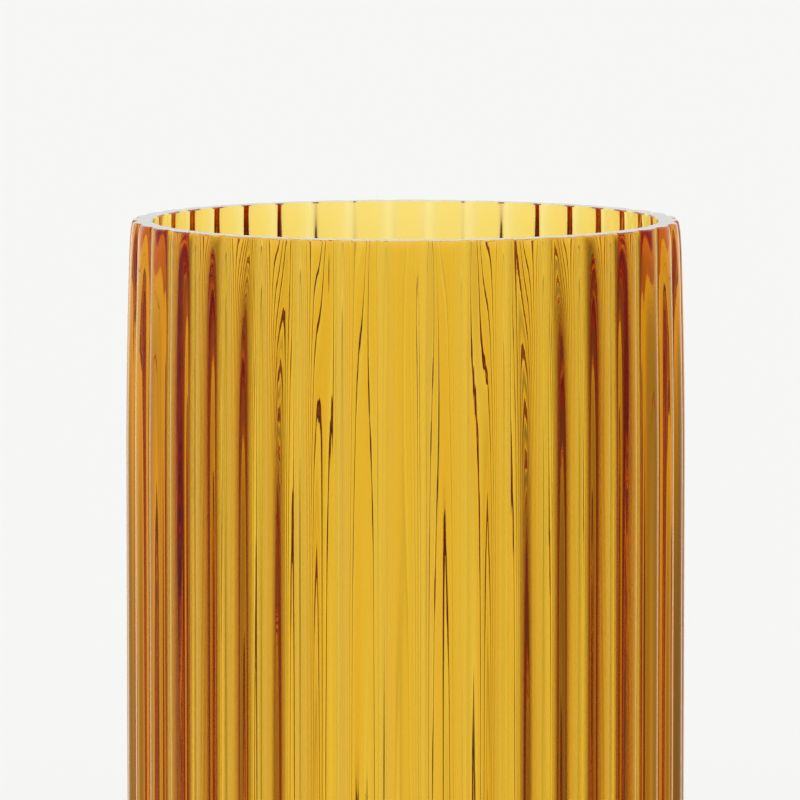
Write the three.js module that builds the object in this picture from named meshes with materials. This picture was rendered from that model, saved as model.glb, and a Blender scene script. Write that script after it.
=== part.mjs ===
// A mouth-blown cylinder vase: one piece of glass with convex ribs down its outside, an inside that
// follows them gently, a heavy floor, a foot ring to stand on and a rim that is cut and ground flat.
// Millimetres, +Z up. The origin is at the middle of the foot, on the surface the vase stands on.

import * as THREE from 'three';

// Overall sizes
const height = 205;            // foot to rim
const bodyRadius = 72;         // over the rib crests, where the vase is widest

// Glass thickness
const wallAtBody = 6.8;        // at a rib crest, halfway up, without the inside waves
const wallAtRim = 5.2;         // at a rib crest, on the ground rim
const floorThickness = 13;     // above the surface the vase stands on

// Ribs
const ribCount = 40;
const ribDepth = 2.1;          // crest to valley on the body
const ribDepthAtRim = 1.2;     // crest to valley where the rim was cut
const ribFadeLength = 14;      // how far below the rim the ribs reach their full depth
const ribRoundness = 1.5;      // 2 is a parabola, less gives fuller sides and narrower valleys
const innerWave = 0.35;        // how far the inside follows each rib, outwards and inwards
const stepsPerRib = 4;

// Shoulder: the wall leans in slightly towards the rim
const shoulderLength = 65;
const shoulderDrawIn = 1.5;

// Heel and foot
const heelRadius = 11;         // outside corner between the wall and the foot
const innerCornerRadius = 9;   // inside corner between the wall and the floor
const footRingWidth = 6;       // flat ground ring that the vase stands on
const puntRise = 2.5;          // hollow under the middle of the floor

// Mesh fineness
const outerWallSteps = 7;
const innerWallSteps = 3;
const cornerSteps = 3;
const puntSteps = 2;

// How far the wall has leaned in at a height, from 0 below the shoulder to 1 at the rim.
function shoulderAt(z) {
  const above = Math.max(0, z - (height - shoulderLength));
  return (above / shoulderLength) ** 2;
}

function crestRadius(z) {
  return bodyRadius - shoulderDrawIn * shoulderAt(z);
}

function innerRadius(z) {
  const wall = THREE.MathUtils.lerp(wallAtBody, wallAtRim, shoulderAt(z));
  return crestRadius(z) - wall;
}

function ribDepthAt(z) {
  const belowRim = Math.min(1, (height - z) / ribFadeLength);
  return THREE.MathUtils.lerp(ribDepthAtRim, ribDepth, Math.sin(belowRim * Math.PI / 2));
}

// Heights from low to high, close together at both ends, where the shape changes most.
function heightsBetween(low, high, steps) {
  return Array.from({ length: steps + 1 }, (_, step) => {
    const share = (1 - Math.cos(Math.PI * step / steps)) / 2;
    return THREE.MathUtils.lerp(low, high, share);
  });
}

// A quarter circle about (centreRadius, centreHeight), from one angle to another in degrees.
function corner(centreRadius, centreHeight, radius, fromDegrees, toDegrees) {
  return Array.from({ length: cornerSteps + 1 }, (_, step) => {
    const degrees = THREE.MathUtils.lerp(fromDegrees, toDegrees, step / cornerSteps);
    const angle = THREE.MathUtils.degToRad(degrees);
    return {
      radius: centreRadius + radius * Math.cos(angle),
      z: centreHeight + radius * Math.sin(angle),
    };
  });
}

// The hollow underside, from the axis to the inside of the foot ring.
function puntOutline(ringInside) {
  return Array.from({ length: puntSteps + 1 }, (_, step) => {
    const share = step / puntSteps;
    return { radius: ringInside * share, z: puntRise * (1 - share ** 2), depth: 0 };
  });
}

// The heel, from the outside of the foot ring up to the wall. The ribs grow along it.
function heelOutline() {
  const arc = corner(bodyRadius - heelRadius, heelRadius, heelRadius, -90, 0);
  return arc.map((point, step) => ({ ...point, depth: ribDepth * step / cornerSteps }));
}

function outerWallOutline() {
  const heights = heightsBetween(heelRadius, height, outerWallSteps).slice(1);
  return heights.map((z) => ({ radius: crestRadius(z), z, depth: ribDepthAt(z) }));
}

// The inside waves die out towards the rim and at the corner to the floor.
function innerWallOutline() {
  const heights = heightsBetween(floorThickness + innerCornerRadius, height, innerWallSteps).reverse();
  return heights.map((z, step) => {
    const wave = step === 0 || step === innerWallSteps ? 0 : innerWave;
    return { radius: innerRadius(z), z, depth: 0, wave };
  });
}

function floorOutline() {
  const cornerHeight = floorThickness + innerCornerRadius;
  const cornerCentre = innerRadius(cornerHeight) - innerCornerRadius;
  const arc = corner(cornerCentre, cornerHeight, innerCornerRadius, 0, -90).slice(1);
  return [...arc.map((point) => ({ ...point, depth: 0 })), { radius: 0, z: floorThickness, depth: 0 }];
}

// How far between two crests an angle is: 0 on a crest, 1 in the valley.
function ribDip(angle) {
  const pitch = 2 * Math.PI / ribCount;
  const fromCrest = Math.abs(angle / pitch - Math.round(angle / pitch)) * 2;
  return fromCrest ** ribRoundness;
}

// One closed outline is turned about the axis, then the ribs are pressed into its outer points
// and the waves into its inner ones.
function makeVase() {
  const outline = [
    ...puntOutline(bodyRadius - heelRadius - footRingWidth),
    ...heelOutline(),
    ...outerWallOutline(),
    ...innerWallOutline(),
    ...floorOutline(),
  ];
  const points = outline.map(({ radius, z }) => new THREE.Vector2(radius, z));
  const geometry = new THREE.LatheGeometry(points, ribCount * stepsPerRib);
  geometry.rotateX(Math.PI / 2);

  const position = geometry.getAttribute('position');
  for (let index = 0; index < position.count; index += 1) {
    const { radius, depth, wave = 0 } = outline[index % outline.length];
    if (depth > 0 || wave > 0) {
      const angle = Math.atan2(position.getY(index), position.getX(index));
      const ribbed = radius - depth * ribDip(angle) + wave * Math.cos(ribCount * angle);
      position.setX(index, ribbed * Math.cos(angle));
      position.setY(index, ribbed * Math.sin(angle));
    }
  }
  geometry.computeVertexNormals();

  const amberGlass = new THREE.MeshStandardMaterial({ color: 0xdca02a, roughness: 0.03, metalness: 0 });
  const vase = new THREE.Mesh(geometry, amberGlass);
  vase.name = 'glass_body';
  return vase;
}

const object = new THREE.Group();
object.add(makeVase());

export default object;
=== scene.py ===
# Ribbed amber glass vase: blown into a ribbed mould, then cut flat at the rim and ground on
# its foot ring. One closed piece of glass in a soft, pale studio.
import math
import bpy
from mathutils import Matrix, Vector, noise


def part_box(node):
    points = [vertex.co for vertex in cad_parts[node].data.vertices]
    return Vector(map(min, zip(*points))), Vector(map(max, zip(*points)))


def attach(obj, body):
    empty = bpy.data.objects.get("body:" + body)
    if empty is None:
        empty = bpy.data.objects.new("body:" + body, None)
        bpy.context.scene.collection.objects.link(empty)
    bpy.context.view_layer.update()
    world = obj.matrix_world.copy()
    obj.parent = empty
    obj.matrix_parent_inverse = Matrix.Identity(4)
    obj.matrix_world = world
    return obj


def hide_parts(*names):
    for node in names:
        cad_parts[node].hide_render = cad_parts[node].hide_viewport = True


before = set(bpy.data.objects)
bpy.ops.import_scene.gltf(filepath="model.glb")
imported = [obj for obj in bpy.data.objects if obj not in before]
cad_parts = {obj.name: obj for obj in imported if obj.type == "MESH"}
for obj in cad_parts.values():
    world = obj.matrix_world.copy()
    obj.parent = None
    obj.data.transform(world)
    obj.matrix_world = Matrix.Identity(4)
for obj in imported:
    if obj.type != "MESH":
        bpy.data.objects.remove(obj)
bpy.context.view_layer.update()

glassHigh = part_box("glass_body")[1]
print("frame loaded")


# ---- the vase ----

# metres; radii over the rib crests
vase = {
    "height": glassHigh[2],
    "bodyRadius": glassHigh[0],
    "ribs": 40,
    "stepsPerRib": 24,
    "ribDepth": 0.0021,        # outside, crest to valley
    "ribDepthAtRim": 0.0012,
    "ribFade": 0.014,           # how slowly the ribs grow below the rim
    "grooveShare": 0.40,        # how much of each rib is a narrow groove, the rest is a round wave
    "grooveShareAtRim": 0.85,
    "grooveSharpness": 2.8,
    "waveDepth": 0.0003,        # inside, how far the wall follows each rib, either way
    "waveFade": 0.060,          # how slowly the waves grow below the rim
    "waveFold": 0.80,           # share of a second wave, twice as narrow
    "wallAtBody": 0.0068,
    "wallAtRim": 0.0052,
    "wallFade": 0.018,
    "shoulderLength": 0.065,
    "shoulderDrawIn": 0.0012,
    "edgeDrawIn": 0.0006,       # the last few millimetres under the rim, rounded by the fire
    "edgeLength": 0.0025,
    "rimBevel": 0.0003,
    "floorThickness": 0.013,
    "heelRadius": 0.011,
    "innerCorner": 0.009,
    "footRingWidth": 0.006,
    "puntRise": 0.0025,         # hollow under the middle of the floor
    "smoothUpTo": 35,           # degrees; only the ground edges are sharper
    "mergeWithin": 0.000002,
    "grooveVariety": 0.03,      # how much the grooves differ from each other in depth
    "grooveDrift": 5,           # how often, per metre, that difference changes up the wall
    "grooveSpacing": 1.7,       # how far apart two neighbouring grooves are in the noise
}


def belowRim(z):
    return vase["height"] - z


def shoulderAt(z):
    above = max(0.0, z - (vase["height"] - vase["shoulderLength"]))
    return (above / vase["shoulderLength"]) ** 2


def crestRadius(z):
    edge = vase["edgeDrawIn"] * math.exp(-belowRim(z) / vase["edgeLength"])
    return vase["bodyRadius"] - vase["shoulderDrawIn"] * shoulderAt(z) - edge


def innerRadius(z):
    # the wall thins towards the rim, where the glass was stretched
    thin = math.exp(-belowRim(z) / vase["wallFade"])
    wall = vase["wallAtBody"] + (vase["wallAtRim"] - vase["wallAtBody"]) * thin
    lean = vase["shoulderDrawIn"] * shoulderAt(z) + vase["edgeDrawIn"] * thin
    return vase["bodyRadius"] - lean - wall


def fadeFromRim(atRim, onBody, z, length):
    return atRim + (onBody - atRim) * (1 - math.exp(-belowRim(z) / length))


def ribDepthAt(z):
    # the ribs grow up along the heel, and the fire has softened them at the rim
    if z < vase["heelRadius"]:
        return vase["ribDepth"] * math.acos(1 - max(z, 0) / vase["heelRadius"]) / (math.pi / 2)
    return fadeFromRim(vase["ribDepthAtRim"], vase["ribDepth"], z, vase["ribFade"])


def waveDepthAt(z):
    # inside, the waves die out round the corner to the flat floor
    rise = min(1, max(0, z - vase["floorThickness"]) / vase["innerCorner"])
    return rise * fadeFromRim(0, vase["waveDepth"], z, vase["waveFade"])


def turnOutline():
    # (radius, z) from the axis under the floor, up the outside, over the rim,
    # down the inside and back to the axis
    ringInside = vase["bodyRadius"] - vase["heelRadius"] - vase["footRingWidth"]
    heelCentre = vase["bodyRadius"] - vase["heelRadius"]
    wallTop = vase["height"] - vase["rimBevel"]
    cornerHeight = vase["floorThickness"] + vase["innerCorner"]
    cornerCentre = innerRadius(cornerHeight) - vase["innerCorner"]
    points = []
    puntSteps = 6
    for step in range(puntSteps + 1):
        share = step / puntSteps
        points.append((ringInside * share, vase["puntRise"] * (1 - share ** 2)))
    heelSteps = 10
    for step in range(heelSteps + 1):
        turn = math.pi / 2 * step / heelSteps
        points.append((heelCentre + vase["heelRadius"] * math.sin(turn),
                       vase["heelRadius"] * (1 - math.cos(turn))))
    wallSteps = 40
    for step in range(1, wallSteps + 1):
        share = math.sin(step / wallSteps * math.pi / 2)
        z = vase["heelRadius"] + (wallTop - vase["heelRadius"]) * share
        points.append((crestRadius(z), z))
    points.append((crestRadius(wallTop) - vase["rimBevel"], vase["height"]))
    points.append((innerRadius(wallTop) + vase["rimBevel"], vase["height"]))
    insideSteps = 26
    for step in range(insideSteps + 1):
        share = 1 - math.cos(step / insideSteps * math.pi / 2)
        z = wallTop + (cornerHeight - wallTop) * share
        points.append((innerRadius(z), z))
    cornerSteps = 8
    for step in range(1, cornerSteps + 1):
        turn = math.pi / 2 * step / cornerSteps
        points.append((cornerCentre + vase["innerCorner"] * math.cos(turn),
                       cornerHeight - vase["innerCorner"] * math.sin(turn)))
    floorSteps = 4
    for step in range(1, floorSteps + 1):
        points.append((cornerCentre * (1 - step / floorSteps), vase["floorThickness"]))
    return points


def spinGlass(points):
    bpy.ops.object.select_all(action="DESELECT")
    bpy.ops.mesh.primitive_plane_add(size=0.001, location=(0, 0, 0))
    glass = bpy.context.object
    glass.name = "ribbed_glass"
    bpy.ops.object.mode_set(mode="EDIT")
    bpy.ops.mesh.select_all(action="SELECT")
    bpy.ops.mesh.merge(type="CENTER")
    bpy.ops.transform.translate(value=(points[0][0], 0, points[0][1]))
    for here, there in zip(points, points[1:]):
        move = (there[0] - here[0], 0, there[1] - here[1])
        bpy.ops.mesh.extrude_vertices_move(TRANSFORM_OT_translate={"value": move})
    bpy.ops.mesh.select_all(action="SELECT")
    bpy.ops.mesh.spin(steps=vase["ribs"] * vase["stepsPerRib"], angle=math.tau,
                      center=(0, 0, 0), axis=(0, 0, 1))
    bpy.ops.mesh.select_all(action="SELECT")
    bpy.ops.mesh.remove_doubles(threshold=vase["mergeWithin"])
    bpy.ops.mesh.normals_make_consistent(inside=False)
    bpy.ops.object.mode_set(mode="OBJECT")
    return glass


def ribDip(angle, z):
    # 0 on a crest, 1 in a valley
    wave = math.sin(angle * vase["ribs"] / 2) ** 2
    groove = wave ** vase["grooveSharpness"]
    share = fadeFromRim(vase["grooveShareAtRim"], vase["grooveShare"], z, vase["ribFade"])
    return share * groove + (1 - share) * wave


def grooveScale(angle, z):
    # each groove is pressed a little more or less than the next, and changes slowly with height
    groove = math.floor(angle / math.tau * vase["ribs"])
    place = (groove * vase["grooveSpacing"], 0.5, z * vase["grooveDrift"])
    return 1 + vase["grooveVariety"] * noise.noise(place)


def insideWave(angle):
    # highest behind a crest, with a narrower hump there than between crests
    turn = angle * vase["ribs"]
    return math.cos(turn) + vase["waveFold"] * math.cos(2 * turn)


def pressRibs(glass):
    for vertex in glass.data.vertices:
        x, y, z = vertex.co
        radius = math.hypot(x, y)
        angle = math.atan2(y, x)
        outside = z < vase["heelRadius"] or radius > (crestRadius(z) + innerRadius(z)) / 2
        if not outside:
            radius += waveDepthAt(z) * insideWave(angle)
        elif radius > vase["bodyRadius"] - vase["heelRadius"]:
            radius -= ribDepthAt(z) * ribDip(angle, z) * grooveScale(angle, z)
        vertex.co = (radius * math.cos(angle), radius * math.sin(angle), z)


def makeVase():
    glass = spinGlass(turnOutline())
    pressRibs(glass)
    bpy.ops.object.shade_smooth_by_angle(angle=math.radians(vase["smoothUpTo"]))
    print("vase turned:", len(glass.data.polygons), "faces")
    return glass


# ---- amber glass ----

amber = {
    "absorbs": (17, 61, 296),       # per metre of glass, for red, green and blue
    "density": 300,                 # more than any of the three
    "ior": 1.51,
    "groundRoughness": 0.10,        # cut, ground and nearly polished
    "groundReach": 0.00005,         # how near the rim and the foot ring's plane that shows
    "cordTint": (1.0, 0.985, 0.96, 1),
    "cordSize": (60, 60, 4),        # upright streaks of tint, in noise cells per metre
    "drawSize": (700, 700, 9),      # fine upright lines from the mould
    "drawHeight": 0.000004,
    "dotsPerMetre": 420,            # chatter down the bottom of each groove
    "dotsAcross": 28,               # noise cells for each radian round the vase
    "dotHeight": 0.000012,
    "grooveFloor": -0.985,          # cosine over a rib below which a point is in the groove's floor
}


def mathNode(nodes, links, operation, first, second):
    node = nodes.new("ShaderNodeMath")
    node.operation = operation
    for place, value in enumerate((first, second)):
        if isinstance(value, (int, float)):
            node.inputs[place].default_value = value
        else:
            links.new(value, node.inputs[place])
    return node.outputs[0]


def stretchedNoise(nodes, links, position, size):
    stretch = nodes.new("ShaderNodeMapping")
    stretch.inputs["Scale"].default_value = size
    links.new(position, stretch.inputs["Vector"])
    cloud = nodes.new("ShaderNodeTexNoise")
    cloud.inputs["Scale"].default_value = 1
    links.new(stretch.outputs["Vector"], cloud.inputs["Vector"])
    return cloud.outputs["Fac"]


def groundMask(nodes, links, height):
    # 1 on the flat faces cut at the rim and under the foot ring
    rim = mathNode(nodes, links, "GREATER_THAN", height, vase["height"] - amber["groundReach"])
    foot = mathNode(nodes, links, "LESS_THAN", height, amber["groundReach"])
    return mathNode(nodes, links, "MAXIMUM", rim, foot)


def grooveDots(nodes, links, parts):
    turn = mathNode(nodes, links, "ARCTAN2", parts.outputs["Y"], parts.outputs["X"])
    ribTurn = mathNode(nodes, links, "MULTIPLY", turn, vase["ribs"])
    crest = mathNode(nodes, links, "COSINE", ribTurn, 0)
    groove = mathNode(nodes, links, "LESS_THAN", crest, amber["grooveFloor"])
    across = mathNode(nodes, links, "MULTIPLY", turn, amber["dotsAcross"])
    upwards = mathNode(nodes, links, "MULTIPLY", parts.outputs["Z"], amber["dotsPerMetre"])
    line = nodes.new("ShaderNodeCombineXYZ")
    links.new(across, line.inputs["X"])
    links.new(upwards, line.inputs["Y"])
    cells = nodes.new("ShaderNodeTexNoise")
    cells.inputs["Scale"].default_value = 1
    links.new(line.outputs[0], cells.inputs["Vector"])
    return mathNode(nodes, links, "MULTIPLY", groove, cells.outputs["Fac"])


def amberGlass():
    material = bpy.data.materials.new("amber_glass")
    material.use_nodes = True
    nodes = material.node_tree.nodes
    links = material.node_tree.links
    glass = nodes["Principled BSDF"]
    glass.inputs["Transmission Weight"].default_value = 1
    glass.inputs["IOR"].default_value = amber["ior"]
    position = nodes.new("ShaderNodeTexCoord").outputs["Object"]
    parts = nodes.new("ShaderNodeSeparateXYZ")
    links.new(position, parts.inputs[0])

    ground = groundMask(nodes, links, parts.outputs["Z"])
    roughness = mathNode(nodes, links, "MULTIPLY", ground, amber["groundRoughness"])
    links.new(roughness, glass.inputs["Roughness"])

    cords = nodes.new("ShaderNodeMix")
    cords.data_type = "RGBA"
    cords.inputs[6].default_value = (1, 1, 1, 1)
    cords.inputs[7].default_value = amber["cordTint"]
    links.new(stretchedNoise(nodes, links, position, amber["cordSize"]), cords.inputs["Factor"])
    links.new(cords.outputs[2], glass.inputs["Base Color"])

    drawn = nodes.new("ShaderNodeBump")
    drawn.inputs["Distance"].default_value = amber["drawHeight"]
    links.new(stretchedNoise(nodes, links, position, amber["drawSize"]), drawn.inputs["Height"])
    dotted = nodes.new("ShaderNodeBump")
    dotted.inputs["Distance"].default_value = amber["dotHeight"]
    links.new(grooveDots(nodes, links, parts), dotted.inputs["Height"])
    links.new(drawn.outputs["Normal"], dotted.inputs["Normal"])
    links.new(dotted.outputs["Normal"], glass.inputs["Normal"])

    tint = nodes.new("ShaderNodeVolumeAbsorption")
    density = amber["density"]
    tint.inputs["Color"].default_value = [1 - part / density for part in amber["absorbs"]] + [1]
    tint.inputs["Density"].default_value = density
    links.new(tint.outputs["Volume"], nodes["Material Output"].inputs["Volume"])
    return material


# ---- studio ----

studio = {
    "paper": (0.935, 0.940, 0.905),
    "backdrop": (0.915, 0.922, 0.905),      # what the camera sees past the table's edge
    "tableRadius": 14,
    "tableRoughness": 0.9,
    "tableShine": 0.1,
    "tableColor": (0.897, 0.902, 0.918),
    # brightness round the vase, by degrees to the right of straight behind it
    "round": [(-180, 0.18), (-140, 0.26), (-100, 0.48), (-75, 0.42), (-55, 0.50), (-42, 0.92), (-30, 1.12),
              (-15, 1.18), (0, 1.18), (15, 1.16), (30, 0.98), (42, 0.58), (55, 0.35), (75, 0.24),
              (100, 0.26), (140, 0.15), (180, 0.18)],
    "overhead": 1.15,
    # share of the overhead light, from straight down at 0 to straight up at 1
    "upAndDown": [(0, 1), (0.36, 1), (0.42, 0), (0.58, 0), (0.7, 1), (1, 1)],
}


def makeTable():
    bpy.ops.object.select_all(action="DESELECT")
    bpy.ops.mesh.primitive_circle_add(vertices=96, radius=studio["tableRadius"], fill_type="NGON")
    table = bpy.context.object
    table.name = "table"
    material = bpy.data.materials.new("pale_table")
    material.use_nodes = True
    paint = material.node_tree.nodes["Principled BSDF"]
    paint.inputs["Base Color"].default_value = (*studio["tableColor"], 1)
    paint.inputs["Roughness"].default_value = studio["tableRoughness"]
    paint.inputs["Specular IOR Level"].default_value = studio["tableShine"]
    table.data.materials.append(material)
    # through and in the glass, the pale studio shows instead of the table
    table.visible_transmission = False
    table.visible_glossy = False


def grey(value):
    return (value, value, value, 1)


def rampNode(nodes, links, factor, stops):
    ramp = nodes.new("ShaderNodeValToRGB")
    links.new(factor, ramp.inputs[0])
    elements = ramp.color_ramp.elements
    for element, (position, value) in zip(elements, (stops[0], stops[-1])):
        element.position = position
        element.color = grey(value)
    for position, value in stops[1:-1]:
        elements.new(position).color = grey(value)
    return ramp.outputs[0]


def shareNode(nodes, links, value, lowest, highest):
    share = nodes.new("ShaderNodeMapRange")
    share.inputs["From Min"].default_value = lowest
    share.inputs["From Max"].default_value = highest
    links.new(value, share.inputs["Value"])
    return share.outputs[0]


def studioColour(nodes, links):
    # walls that differ in brightness round the vase, and an even light from above and below
    direction = nodes.new("ShaderNodeTexCoord").outputs["Generated"]
    parts = nodes.new("ShaderNodeSeparateXYZ")
    links.new(direction, parts.inputs[0])
    turn = mathNode(nodes, links, "ARCTAN2", parts.outputs["X"], parts.outputs["Y"])
    roundShare = shareNode(nodes, links, turn, -math.pi, math.pi)
    heightShare = shareNode(nodes, links, parts.outputs["Z"], -1, 1)
    wallStops = [((degrees + 180) / 360, value) for degrees, value in studio["round"]]
    mixed = nodes.new("ShaderNodeMix")
    mixed.data_type = "RGBA"
    links.new(rampNode(nodes, links, heightShare, studio["upAndDown"]), mixed.inputs["Factor"])
    links.new(rampNode(nodes, links, roundShare, wallStops), mixed.inputs[6])
    mixed.inputs[7].default_value = grey(studio["overhead"])
    paper = nodes.new("ShaderNodeMix")
    paper.data_type = "RGBA"
    paper.blend_type = "MULTIPLY"
    paper.inputs["Factor"].default_value = 1
    links.new(mixed.outputs[2], paper.inputs[6])
    paper.inputs[7].default_value = (*studio["paper"], 1)
    return paper.outputs[2]


def makeLight():
    world = bpy.data.worlds.new("soft_studio")
    bpy.context.scene.world = world
    world.use_nodes = True
    nodes = world.node_tree.nodes
    links = world.node_tree.links
    nodes.clear()
    lit = nodes.new("ShaderNodeBackground")
    links.new(studioColour(nodes, links), lit.inputs["Color"])
    behind = nodes.new("ShaderNodeBackground")
    behind.inputs["Color"].default_value = (*studio["backdrop"], 1)
    ray = nodes.new("ShaderNodeLightPath")
    either = nodes.new("ShaderNodeMixShader")
    links.new(ray.outputs["Is Camera Ray"], either.inputs[0])
    links.new(lit.outputs[0], either.inputs[1])
    links.new(behind.outputs[0], either.inputs[2])
    out = nodes.new("ShaderNodeOutputWorld")
    links.new(either.outputs[0], out.inputs["Surface"])


# ---- camera ----

# a long lens a little above the rim; angles in degrees
camera = {
    "distance": 2.05,
    "lens": 360,
    "above": 4.35,          # above the rim, seen from the rim's middle
    "aside": 0.75,          # to the right of straight ahead
    "lookBelow": 1.292,     # how far the rim's middle is above the picture's middle
    "lookAside": 0.039,
}


def makeCamera():
    above = math.radians(camera["above"])
    aside = math.radians(camera["aside"])
    data = bpy.data.cameras.new("camera")
    data.lens = camera["lens"]
    item = bpy.data.objects.new("camera", data)
    bpy.context.collection.objects.link(item)
    item.location = (camera["distance"] * math.sin(aside), -camera["distance"] * math.cos(aside),
                     vase["height"] + camera["distance"] * math.tan(above))
    down = above + math.radians(camera["lookBelow"])
    turned = aside + math.radians(camera["lookAside"])
    item.rotation_euler = (math.pi / 2 - down, 0, turned)
    bpy.context.scene.camera = item


ribbedGlass = makeVase()
ribbedGlass.data.materials.append(amberGlass())
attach(ribbedGlass, "root")
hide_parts("glass_body")
makeTable()
makeLight()
makeCamera()

settings = bpy.context.scene
settings.view_settings.view_transform = "Standard"
settings.cycles.max_bounces = 40
settings.cycles.transmission_bounces = 40
settings.cycles.glossy_bounces = 24
print("studio and camera set")
